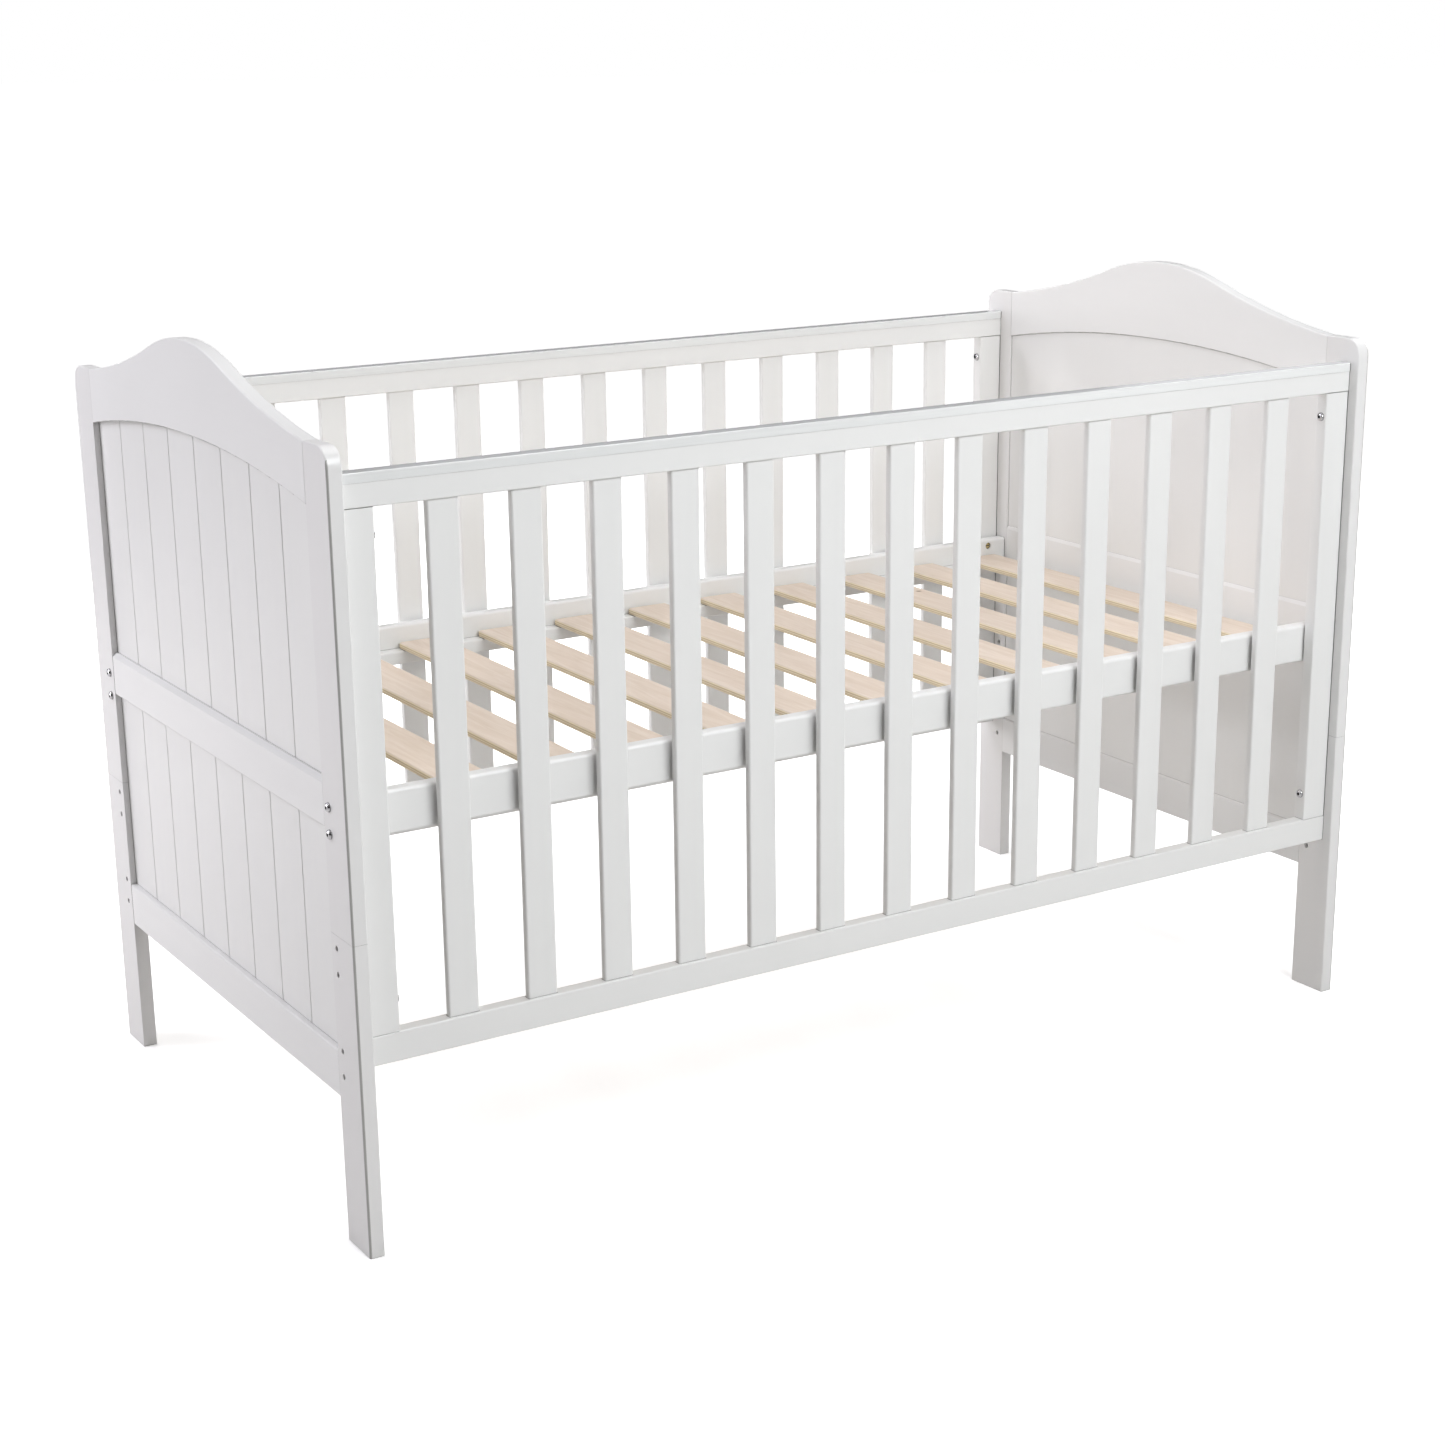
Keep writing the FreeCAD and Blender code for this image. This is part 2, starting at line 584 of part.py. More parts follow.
def upper_panel(label, turned):
    """Boarded panel under the crest, its top edge arched like the rail above it."""
    body = new_body(label)
    half = "rail_span / 2 + panel_tongue"
    low = "mid_rail_top - panel_tongue"
    reach = size_of(half)
    outline = sketch_on(body, "YZ_Plane", lift="panel_recess")
    arch = arch_line(outline, half, "panel_end_height", "panel_arch_drop", "arch_radius")
    right = outline.addGeometry(Part.LineSegment(Vector(reach, 0, 0), Vector(reach, 1, 0)))
    left = outline.addGeometry(Part.LineSegment(Vector(-reach, 0, 0), Vector(-reach, 1, 0)))
    foot = outline.addGeometry(Part.LineSegment(Vector(-reach, 0, 0), Vector(reach, 0, 0)))
    for one, one_end, other, other_end in (
        (arch, 1, right, 2),
        (arch, 2, left, 2),
        (foot, 1, left, 1),
        (foot, 2, right, 1),
    ):
        outline.addConstraint(Sketcher.Constraint("Coincident", one, one_end, other, other_end))
    hold_point(outline, foot, 1, f"-({half})", low)
    hold_point(outline, foot, 2, half, low)
    pad(body, outline, "panel_thick")
    vee_grooves(body, low, centred=True)
    place(body, across="overall_width / 2", turned=turned)
    return body


def lower_panel(label, turned):
    """Boarded panel between the mid rail and the bottom rail."""
    body = new_body(label)
    outline = sketch_on(body, "YZ_Plane", lift="panel_recess")
    low = "end_rail_top - panel_tongue"
    half = "rail_span / 2 + panel_tongue"
    rectangle(outline, f"-({half})", low, half, "mid_rail_low + panel_tongue")
    pad(body, outline, "panel_thick")
    vee_grooves(body, low, centred=True)
    place(body, across="overall_width / 2", turned=turned)
    return body


def end_panel(end, turned):
    """The nine boards of one end. On the turned end the drawn posts stand at the back."""
    drawn = "rear" if turned else "front"
    copied = "front" if turned else "rear"
    post = upper_post(f"{end}_{drawn}_upper_post", turned)
    mirrored_part(f"{end}_{copied}_upper_post", post)
    foot = leg(f"{end}_{drawn}_leg", turned)
    mirrored_part(f"{end}_{copied}_leg", foot)
    crest_rail(f"{end}_crest_rail", turned)
    cross_rail(
        f"{end}_mid_rail",
        turned,
        "mid_rail_low",
        "mid_rail_tall",
        "mid_bevel",
        "mid_bevel_share",
        "mid_inner_bevel",
        True,
    )
    cross_rail(
        f"{end}_bottom_rail",
        turned,
        "end_rail_low",
        "end_rail_tall",
        "end_rail_bevel",
        "end_rail_bevel_share",
        "end_rail_bevel",
        False,
    )
    upper_panel(f"{end}_upper_panel", turned)
    lower_panel(f"{end}_lower_panel", turned)


# ---------------------------------------------------------------- slatted sides
def side_rail(label, turned, low, tall, top_rail):
    """Long rail of a side, mortised for the spindles and drilled for the stile dowels."""
    body = new_body(label)
    outline = sketch_on(body, "YZ_Plane")
    rectangle(outline, "0", "0", "side_thick", tall)
    pad(body, outline, "inner_length")
    round_edges(body, "arris", lambda p, d: near(abs(d.x), 1))
    face = None if top_rail else tall
    holes = sketch_on(body, "XY_Plane", lift=face)
    for spindle in range(int(size_of("spindle_count"))):
        start = f"first_spindle + {spindle} * spindle_pitch"
        rectangle(
            holes,
            start,
            "(side_thick - spindle_thick) / 2",
            f"{start} + spindle_width",
            "(side_thick + spindle_thick) / 2",
        )
    pocket(body, holes, "tenon_long + mortise_spare", forwards=top_rail)
    dowels = sketch_on(body, "XY_Plane", lift=face)
    for across in stile_dowel_lines():
        circle(dowels, across, "side_thick / 2", "dowel_dia")
    pocket(body, dowels, "dowel_hole_deep", forwards=top_rail)
    place(body, "end_thick", "side_setback", low, turned)
    return body


def stile_dowel_lines():
    """Distances of the four stile dowels from a side's left end."""
    lines = []
    for stile_start in ("0", "inner_length - stile_width"):
        for share in ("1 / 4", "3 / 4"):
            lines.append(f"{stile_start} + stile_width * {share}")
    return lines


def stile(label, turned, along):
    """End stile of a side, between its two rails, drilled through for the side bolts."""
    body = new_body(label)
    outline = sketch_on(body, "XY_Plane")
    rectangle(outline, "0", "0", "stile_width", "side_thick")
    pad(body, outline, "stile_long")
    round_edges(body, "arris", lambda p, d: near(abs(d.z), 1))
    bolts = sketch_on(body, "YZ_Plane")
    foot = "low_rail_low + low_rail_tall"
    circle(bolts, "side_thick / 2", f"side_bolt_top - {foot.replace(' + ', ' - ')}", "bolt_hole")
    circle(bolts, "side_thick / 2", "side_bolt_rise", "bolt_hole")
    pocket(body, bolts, forwards=True)
    for face, upwards in ((None, True), ("stile_long", False)):
        dowels = sketch_on(body, "XY_Plane", lift=face)
        for share in ("1 / 4", "3 / 4"):
            circle(dowels, f"stile_width * {share}", "side_thick / 2", "dowel_dia")
        pocket(body, dowels, "dowel_hole_deep", forwards=upwards)
    place(body, f"end_thick + {along}", "side_setback", foot, turned)
    return body


def spindles(label, turned):
    """Row of flat spindles with rounded edges, their ends housed in the rails."""
    body = new_body(label)
    outline = sketch_on(body, "XY_Plane")
    rectangle(outline, "0", "0", "spindle_width", "spindle_thick")
    pad(body, outline, "stile_long + 2 * tenon_long")
    round_edges(body, "spindle_round", lambda p, d: near(abs(d.z), 1))
    repeat(body, "X_Axis", "spindle_pitch", "spindle_count")
    across = "side_setback + (side_thick - spindle_thick) / 2"
    place(body, "end_thick + first_spindle", across, "low_rail_low + low_rail_tall - tenon_long", turned)
    return body


def teething_cover(label, turned):
    """Thin plastic channel that clips over the top rail."""
    body = new_body(label)
    outline = sketch_on(body, "YZ_Plane")
    wide = "side_thick + 2 * cover_wall"
    high = "cover_skirt + cover_wall"
    polygon(
        outline,
        [
            ("0", "0"),
            ("cover_wall", "0"),
            ("cover_wall", "cover_skirt"),
            (f"{wide} - cover_wall", "cover_skirt"),
            (f"{wide} - cover_wall", "0"),
            (wide, "0"),
            (wide, high),
            ("0", high),
        ],
    )
    pad(body, outline, "inner_length - 2 * cover_gap")
    top = size_of(high)
    round_edges(body, "cover_wall", lambda p, d: near(p.z, top) and near(abs(d.x), 1))
    place(
        body,
        "end_thick + cover_gap",
        "side_setback - cover_wall",
        "top_rail_low + top_rail_tall - cover_skirt",
        turned,
    )
    return body


def side_frame(side, turned):
    """One fixed slatted side. The rear one is the front one turned round."""
    near_stile = "right" if turned else "left"
    far_stile = "left" if turned else "right"
    side_rail(f"{side}_top_rail", turned, "top_rail_low", "top_rail_tall", True)
    side_rail(f"{side}_bottom_rail", turned, "low_rail_low", "low_rail_tall", False)
    stile(f"{side}_{near_stile}_stile", turned, "0")
    stile(f"{side}_{far_stile}_stile", turned, "inner_length - stile_width")
    spindles(f"{side}_spindles", turned)
    teething_cover(f"{side}_teething_cover", turned)


# ---------------------------------------------------------------- slatted base
def base_rail(label, turned):
    """Long rail of the base, bored at both ends for the bolts and from inside for the barrel nuts."""
    body = new_body(label)
    outline = sketch_on(body, "YZ_Plane")
    rectangle(outline, "0", "0", "base_rail_thick", "base_rail_tall")
    pad(body, outline, "base_rail_long")
    round_edges(body, "base_rail_round", lambda p, d: near(abs(d.x), 1))
    for face, forwards in ((None, True), ("base_rail_long", False)):
        bores = sketch_on(body, "YZ_Plane", lift=face)
        for sign in ("-", "+"):
            circle(bores, "base_rail_thick / 2", f"base_rail_tall / 2 {sign} base_bolt_gap / 2", "bolt_hole")
        pocket(body, bores, "base_bolt_long - end_thick + base_end_gap", forwards=forwards)
    nuts = sketch_on(body, "XZ_Plane", lift="-base_rail_thick")
    for along in nut_lines():
        for sign in ("-", "+"):
            circle(nuts, along, f"base_rail_tall / 2 {sign} base_bolt_gap / 2", "nut_dia")
    pocket(body, nuts, "base_rail_thick / 2 + nut_long / 2", forwards=True)
    place(body, "end_thick + base_end_gap", "bolt_line - base_rail_thick / 2", "base_rail_low", turned)
    return body


def nut_lines():
    """Distances of the barrel nuts from a base rail's own end."""
    return ["nut_from_end - base_end_gap", "base_rail_long - nut_from_end + base_end_gap"]


def slat_start(index):
    return f"slat_first_gap + {index} * slat_pitch"


def ledger(label, turned):
    """Square strip glued along the foot of the base rail, with holes for the lower nuts and the pins."""
    body = new_body(label)
    outline = sketch_on(body, "YZ_Plane")
    rectangle(outline, "0", "0", "ledger_width", "ledger_tall")
    pad(body, outline, "base_rail_long")
    width = size_of("ledger_width")
    round_edges(body, "arris", lambda p, d: near(abs(d.x), 1) and near(p.y, width))
    nuts = sketch_on(body, "XZ_Plane")
    for along in nut_lines():
        circle(nuts, along, "(base_rail_tall - base_bolt_gap) / 2", "nut_dia")
    pocket(body, nuts)
    pins = sketch_on(body, "XY_Plane")
    for index in range(int(size_of("slat_count"))):
        along = f"{slat_start(index)} + slat_width / 2 - base_end_gap"
        circle(pins, along, "ledger_width / 2", "pin_dia")
    pocket(body, pins, forwards=True)
    place(body, "end_thick + base_end_gap", "bolt_line + base_rail_thick / 2", "base_rail_low", turned)
    return body


def slat(label, index):
    """Birch plywood slat with rounded edges, pinned to a ledger at each end."""
    body = new_body(label)
    outline = sketch_on(body, "XY_Plane")
    rectangle(outline, "0", "0", "slat_width", "slat_long")
    pad(body, outline, "slat_thick")
    round_edges(body, "slat_corner", lambda p, d: near(abs(d.z), 1))
    round_edges(body, "slat_round", lambda p, d: near(d.z, 0))
    pins = sketch_on(body, "XY_Plane")
    for across in ("ledger_width / 2 - slat_end_gap", "slat_long - ledger_width / 2 + slat_end_gap"):
        circle(pins, "slat_width / 2", across, "pin_dia")
    pocket(body, pins, "pin_long - ledger_tall", forwards=True)
    along = f"end_thick + {slat_start(index)}"
    place(body, along, "bolt_line + base_rail_thick / 2 + slat_end_gap", "base_rail_low + ledger_tall")
    return body


# ---------------------------------------------------------------- fasteners and dowels
# Each group is drawn once at the left front corner and mirrored about the crib's two middle planes.
LEFT = "overall_length / 2"
FRONT = "overall_width / 2"


def four_corners(body):
    mirror_body(body, "XZ_Plane")
    mirror_body(body, "YZ_Plane")


def button_bolt(body, heights, line, seat, length, into_post):
    """M6 bolts lying along the crib: a domed head with a hexagon socket, and a plain shank."""
    out = "+" if into_post else "-"
    seat_line = f"-{LEFT} + {seat}"
    for height in heights:
        head = sketch_on(body, "YZ_Plane", lift=seat_line)
        circle(head, f"-{FRONT} + {line}", height, "head_dia")
        pad(body, head, "head_tall", backwards=not into_post)
    crown = size_of(f"{seat_line} {out} head_tall")
    round_edges(body, "head_tall * 0.8", lambda p, d: near(p.x, crown) and near(d.x, 0))
    for height in heights:
        socket = sketch_on(body, "YZ_Plane", lift=f"{seat_line} {out} head_tall")
        hexagon(socket, f"-{FRONT} + {line}", height)
        pocket(body, socket, "socket_deep", forwards=not into_post)
    for height in heights:
        shank = sketch_on(body, "YZ_Plane", lift=seat_line)
        circle(shank, f"-{FRONT} + {line}", height, "bolt_dia")
        pad(body, shank, length, backwards=into_post)
    four_corners(body)


def hexagon(sketch, across, up):
    """Hexagon with its flats upright, measured across flats."""
    corner = "socket_flats / 1.7320508"
    flat = "socket_flats / 2"
    polygon(
        sketch,
        [
            (f"{across} + {flat}", f"{up} - {corner} / 2"),
            (f"{across} + {flat}", f"{up} + {corner} / 2"),
            (across, f"{up} + {corner}"),
            (f"{across} - {flat}", f"{up} + {corner} / 2"),
            (f"{across} - {flat}", f"{up} - {corner} / 2"),
            (across, f"{up} - {corner}"),
        ],
    )


BASE_BOLTS = ["base_high - base_bolt_gap / 2", "base_high + base_bolt_gap / 2"]
SIDE_BOLTS = ["side_bolt_low", "side_bolt_top"]


def base_bolts():
    """Bolts through the posts into the ends of the base rails, heads outside."""
    button_bolt(new_body("base_bolts"), BASE_BOLTS, "bolt_line", "0", "base_bolt_long", False)


def side_bolts():
    """Bolts through the stiles into the posts, heads inside the crib."""
    seat = "end_thick + stile_width"
    button_bolt(new_body("side_bolts"), SIDE_BOLTS, "side_bolt_line", seat, "side_bolt_long", True)


def barrel_nuts():
    """Cross nuts in the base rails, each with the bolt's hole through it."""
    body = new_body("base_barrel_nuts")
    along = f"-{LEFT} + end_thick + nut_from_end"
    outline = sketch_on(body, "XZ_Plane", lift=f"{FRONT} - bolt_line")
    for height in BASE_BOLTS:
        circle(outline, along, height, "nut_dia")
    pad(body, outline, "nut_long", both_ways=True)
    slots = sketch_on(body, "XZ_Plane", lift=f"{FRONT} - bolt_line - nut_long / 2")
    for height in BASE_BOLTS:
        rectangle(
            slots,
            f"{along} - nut_dia / 2",
            f"{height} - nut_slot_wide / 2",
            f"{along} + nut_dia / 2",
            f"{height} + nut_slot_wide / 2",
        )
    pocket(body, slots, "socket_deep", forwards=True)
    threads = sketch_on(body, "YZ_Plane", lift=f"{along} + nut_dia")
    for height in BASE_BOLTS:
        circle(threads, f"-{FRONT} + bolt_line", height, "bolt_dia")
    pocket(body, threads, "2 * nut_dia")
    four_corners(body)


def threaded_inserts():
    """Metal sleeves in the posts that take the side bolts."""
    body = new_body("side_inserts")
    mouth = f"-{LEFT} + end_thick"
    for height in SIDE_BOLTS:
        outline = sketch_on(body, "YZ_Plane", lift=mouth)
        circle(outline, f"-{FRONT} + side_bolt_line", height, "insert_dia")
        circle(outline, f"-{FRONT} + side_bolt_line", height, "bolt_dia")
        pad(body, outline, "insert_long", backwards=True)
    four_corners(body)


def leg_dowels():
    """Upright dowels between legs and upper posts."""
    body = new_body("leg_dowels")
    outline = sketch_on(body, "XY_Plane", lift="leg_height")
    for across in ("leg_dowel_edge", "leg_dowel_edge + leg_dowel_gap"):
        circle(outline, f"-{LEFT} + end_thick / 2", f"-{FRONT} + {across}", "dowel_dia")
    pad(body, outline, "leg_dowel_long", both_ways=True)
    four_corners(body)


def end_rail_dowels():
    """Level dowels between the posts and the crest, mid and bottom rails of both ends."""
    body = new_body("end_rail_dowels")
    outline = sketch_on(body, "XZ_Plane", lift=f"{FRONT} - post_width")
    starts = [
        ("arch_end_height + crest_dowel_rise", "crest_dowel_gap"),
        ("mid_rail_low + rail_dowel_rise", "rail_dowel_gap"),
        ("end_rail_low + rail_dowel_rise", "rail_dowel_gap"),
    ]
    for start, gap in starts:
        for height in (start, f"{start} + {gap}"):
            circle(outline, f"-{LEFT} + end_thick / 2", height, "dowel_dia")
    pad(body, outline, "dowel_long", both_ways=True)
    four_corners(body)


def side_frame_dowels():
    """Upright dowels between the side rails and the stiles."""
    body = new_body("side_frame_dowels")
    for level in ("low_rail_low + low_rail_tall", "top_rail_low"):
        outline = sketch_on(body, "XY_Plane", lift=level)
        for across in stile_dowel_lines()[:2]:
            circle(outline, f"-{LEFT} + end_thick + {across}", f"-{FRONT} + side_bolt_line", "dowel_dia")
        pad(body, outline, "dowel_long", both_ways=True)
    four_corners(body)


def slat_pins():
    """Pins driven up through the ledgers into the slats."""
    body = new_body("slat_pins")
    outline = sketch_on(body, "XY_Plane", lift="base_rail_low")
    first = f"-{LEFT} + end_thick + {slat_start(0)} + slat_width / 2"
    across = f"-{FRONT} + bolt_line + base_rail_thick / 2 + ledger_width / 2"
    circle(outline, first, across, "pin_dia")
    pad(body, outline, "pin_long")
    repeat(body, "X_Axis", "slat_pitch", "slat_count")
    mirror_body(body, "XZ_Plane")


end_panel("left", False)
end_panel("right", True)
side_frame("front", False)
side_frame("rear", True)
base_rail("base_front_rail", False)
base_rail("base_rear_rail", True)
ledger("base_front_ledger", False)
ledger("base_rear_ledger", True)
for number in range(int(size_of("slat_count"))):
    slat(f"base_slat_{number + 1:02d}", number)
base_bolts()
barrel_nuts()
side_bolts()
threaded_inserts()
leg_dowels()
end_rail_dowels()
side_frame_dowels()
slat_pins()
doc.recompute()

for item in doc.Objects:
    if "Invalid" in item.State or "Error" in item.State:
        raise RuntimeError(f"{item.Label} failed: {item.State}")
for piece in sub_parts:
    if piece.Shape.isNull() or not piece.Shape.isValid():
        raise RuntimeError(f"{piece.Label} has no valid shape")

os.makedirs("parts", exist_ok=True)
for piece in sub_parts:
    piece.Shape.exportStep(f"parts/{piece.Label}.step")
print(f"{len(sub_parts)} nodes, {sum(len(piece.Shape.Solids) for piece in sub_parts)} solids")
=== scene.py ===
import bpy
from mathutils import Matrix, Vector

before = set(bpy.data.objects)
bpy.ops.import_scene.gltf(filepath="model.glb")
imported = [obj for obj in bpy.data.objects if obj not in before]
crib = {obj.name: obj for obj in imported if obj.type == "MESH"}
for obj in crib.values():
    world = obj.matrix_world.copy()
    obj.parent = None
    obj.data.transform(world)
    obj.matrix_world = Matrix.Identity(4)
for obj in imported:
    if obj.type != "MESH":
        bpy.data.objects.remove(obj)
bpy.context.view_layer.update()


# ---------------------------------------------------------------- white paint on the boards
# Every board is beech or pine, sprayed with several coats of satin white lacquer, rubbed down between them.
# The coats leave a faint orange peel, a trace of grain and a greyer film on edges. Dark lines in the joints,
# grooves and holes are painted shade.
def new_group(name, inputs, outputs):
    """An empty shader node group with named sockets: (kind, name, default) in, (kind, name) out."""
    group = bpy.data.node_groups.new(name, "ShaderNodeTree")
    for kind, socket_name, default in inputs:
        socket = group.interface.new_socket(socket_name, in_out="INPUT", socket_type=kind)
        socket.default_value = default
    for kind, socket_name in outputs:
        group.interface.new_socket(socket_name, in_out="OUTPUT", socket_type=kind)
    group.nodes.new("NodeGroupInput")
    group.nodes.new("NodeGroupOutput")
    return group


def add_node(tree, kind, **settings):
    node = tree.nodes.new(kind)
    for name, value in settings.items():
        if hasattr(node, name):
            setattr(node, name, value)
        else:
            node.inputs[name.replace("_", " ")].default_value = value
    return node


def group_ends(group):
    first = next(n for n in group.nodes if n.bl_idname == "NodeGroupInput")
    last = next(n for n in group.nodes if n.bl_idname == "NodeGroupOutput")
    return first, last


def maths(tree, operation, one, two=None, clamp=False):
    """One maths node. A number or a socket may be given for either side."""
    node = tree.nodes.new("ShaderNodeMath")
    node.operation = operation
    node.use_clamp = clamp
    for socket, given in zip(node.inputs, (one, two)):
        if given is None:
            continue
        if isinstance(given, (int, float)):
            socket.default_value = given
        else:
            tree.links.new(given, socket)
    return node.outputs[0]


def blend_colours(tree, share, one, two):
    """Mixes two colours by a share from 0 to 1. Colours are sockets or tuples."""
    node = tree.nodes.new("ShaderNodeMix")
    node.data_type = "RGBA"
    if isinstance(share, (int, float)):
        node.inputs[0].default_value = share
    else:
        tree.links.new(share, node.inputs[0])
    for index, given in ((6, one), (7, two)):
        if isinstance(given, tuple):
            node.inputs[index].default_value = given
        else:
            tree.links.new(given, node.inputs[index])
    return node.outputs[2]


def spread(tree, value, low, high, to_low=0.0, to_high=1.0):
    """Stretches a value so that low becomes to_low and high becomes to_high, held at both ends."""
    node = tree.nodes.new("ShaderNodeMapRange")
    node.clamp = True
    tree.links.new(value, node.inputs["Value"])
    node.inputs["From Min"].default_value = low
    node.inputs["From Max"].default_value = high
    node.inputs["To Min"].default_value = to_low
    node.inputs["To Max"].default_value = to_high
    return node.outputs["Result"]


def lacquer_group():
    """Satin lacquer: blotches in metres for slow colour drift, stretched grain, and orange peel for bumps."""
    group = new_group(
        "sprayed_lacquer",
        [
            ("NodeSocketVector", "Position", (0, 0, 0)),
            ("NodeSocketVector", "Along Grain", (1, 1, 1)),
            ("NodeSocketColor", "Fresh", (0.8, 0.8, 0.8, 1)),
            ("NodeSocketColor", "Thin", (0.7, 0.7, 0.7, 1)),
            ("NodeSocketFloat", "Grain", 0.2),
        ],
        [("NodeSocketColor", "Colour"), ("NodeSocketFloat", "Roughness"), ("NodeSocketFloat", "Height")],
    )
    given, out = group_ends(group)
    drift = add_node(group, "ShaderNodeTexNoise", Scale=3.5, Detail=3.0)
    group.links.new(given.outputs["Position"], drift.inputs["Vector"])
    stretched = group.nodes.new("ShaderNodeVectorMath")
    stretched.operation = "MULTIPLY"
    group.links.new(given.outputs["Position"], stretched.inputs[0])
    group.links.new(given.outputs["Along Grain"], stretched.inputs[1])
    grain = add_node(group, "ShaderNodeTexNoise", Scale=9.0, Detail=6.0, Roughness=0.65, Distortion=0.6)
    group.links.new(stretched.outputs[0], grain.inputs["Vector"])
    peel = add_node(group, "ShaderNodeTexNoise", Scale=420.0, Detail=2.0)
    group.links.new(given.outputs["Position"], peel.inputs["Vector"])
    grain_lines = spread(group, grain.outputs["Fac"], 0.38, 0.66)
    share = maths(group, "MULTIPLY", grain_lines, given.outputs["Grain"])
    slow = spread(group, drift.outputs["Fac"], 0.35, 0.65, 0.0, 0.2)
    share = maths(group, "ADD", share, slow, clamp=True)
    colour = blend_colours(group, share, given.outputs["Fresh"], given.outputs["Thin"])
    rough = spread(group, drift.outputs["Fac"], 0.3, 0.7, 0.33, 0.41)
    rough = maths(group, "ADD", rough, maths(group, "MULTIPLY", grain_lines, 0.04))
    height = maths(group, "ADD", maths(group, "MULTIPLY", peel.outputs["Fac"], 0.35), grain_lines)
    group.links.new(colour, out.inputs["Colour"])
    group.links.new(rough, out.inputs["Roughness"])
    group.links.new(height, out.inputs["Height"])
    return group


def edge_group():
    """Where a bevelled normal leaves the true one there is an edge. Gives 0 on a flat and 1 on an edge."""
    group = new_group(
        "board_edge",
        [("NodeSocketVector", "Position", (0, 0, 0)), ("NodeSocketFloat", "Reach", 0.002)],
        [("NodeSocketFloat", "Edge")],
    )
    given, out = group_ends(group)
    bevel = group.nodes.new("ShaderNodeBevel")
    bevel.samples = 6
    group.links.new(given.outputs["Reach"], bevel.inputs["Radius"])
    surface = group.nodes.new("ShaderNodeNewGeometry")
    dot = group.nodes.new("ShaderNodeVectorMath")
    dot.operation = "DOT_PRODUCT"
    group.links.new(bevel.outputs["Normal"], dot.inputs[0])
    group.links.new(surface.outputs["True Normal"], dot.inputs[1])
    bent = maths(group, "SUBTRACT", 1.0, dot.outputs["Value"])
    speckle = add_node(group, "ShaderNodeTexNoise", Scale=60.0, Detail=3.0)
    group.links.new(given.outputs["Position"], speckle.inputs["Vector"])
    broken = spread(group, speckle.outputs["Fac"], 0.3, 0.6, 0.6, 1.0)
    edge = spread(group, bent, 0.01, 0.16)
    group.links.new(maths(group, "MULTIPLY", edge, broken), out.inputs["Edge"])
    return group


def crevice_group():
    """Where surfaces stand close together there is a joint, groove or hole, which little light reaches. Gives
    0 in the open and 1 deep in, used to paint shade there.
    """
    group = new_group(
        "crevice_shade",
        [
            ("NodeSocketFloat", "Reach", 0.0014),
            ("NodeSocketFloat", "Open", 0.14),
            ("NodeSocketFloat", "Shut", 0.48),
        ],
        [("NodeSocketFloat", "Depth")],
    )
    given, out = group_ends(group)
    hidden = group.nodes.new("ShaderNodeAmbientOcclusion")
    hidden.samples = 8
    group.links.new(given.outputs["Reach"], hidden.inputs["Distance"])
    closed = maths(group, "SUBTRACT", 1.0, hidden.outputs["AO"])
    depth = group.nodes.new("ShaderNodeMapRange")
    group.links.new(closed, depth.inputs["Value"])
    group.links.new(given.outputs["Open"], depth.inputs["From Min"])
    group.links.new(given.outputs["Shut"], depth.inputs["From Max"])
    group.links.new(depth.outputs["Result"], out.inputs["Depth"])
    return group


sprayed_lacquer = lacquer_group()
board_edge = edge_group()
crevice_shade = crevice_group()


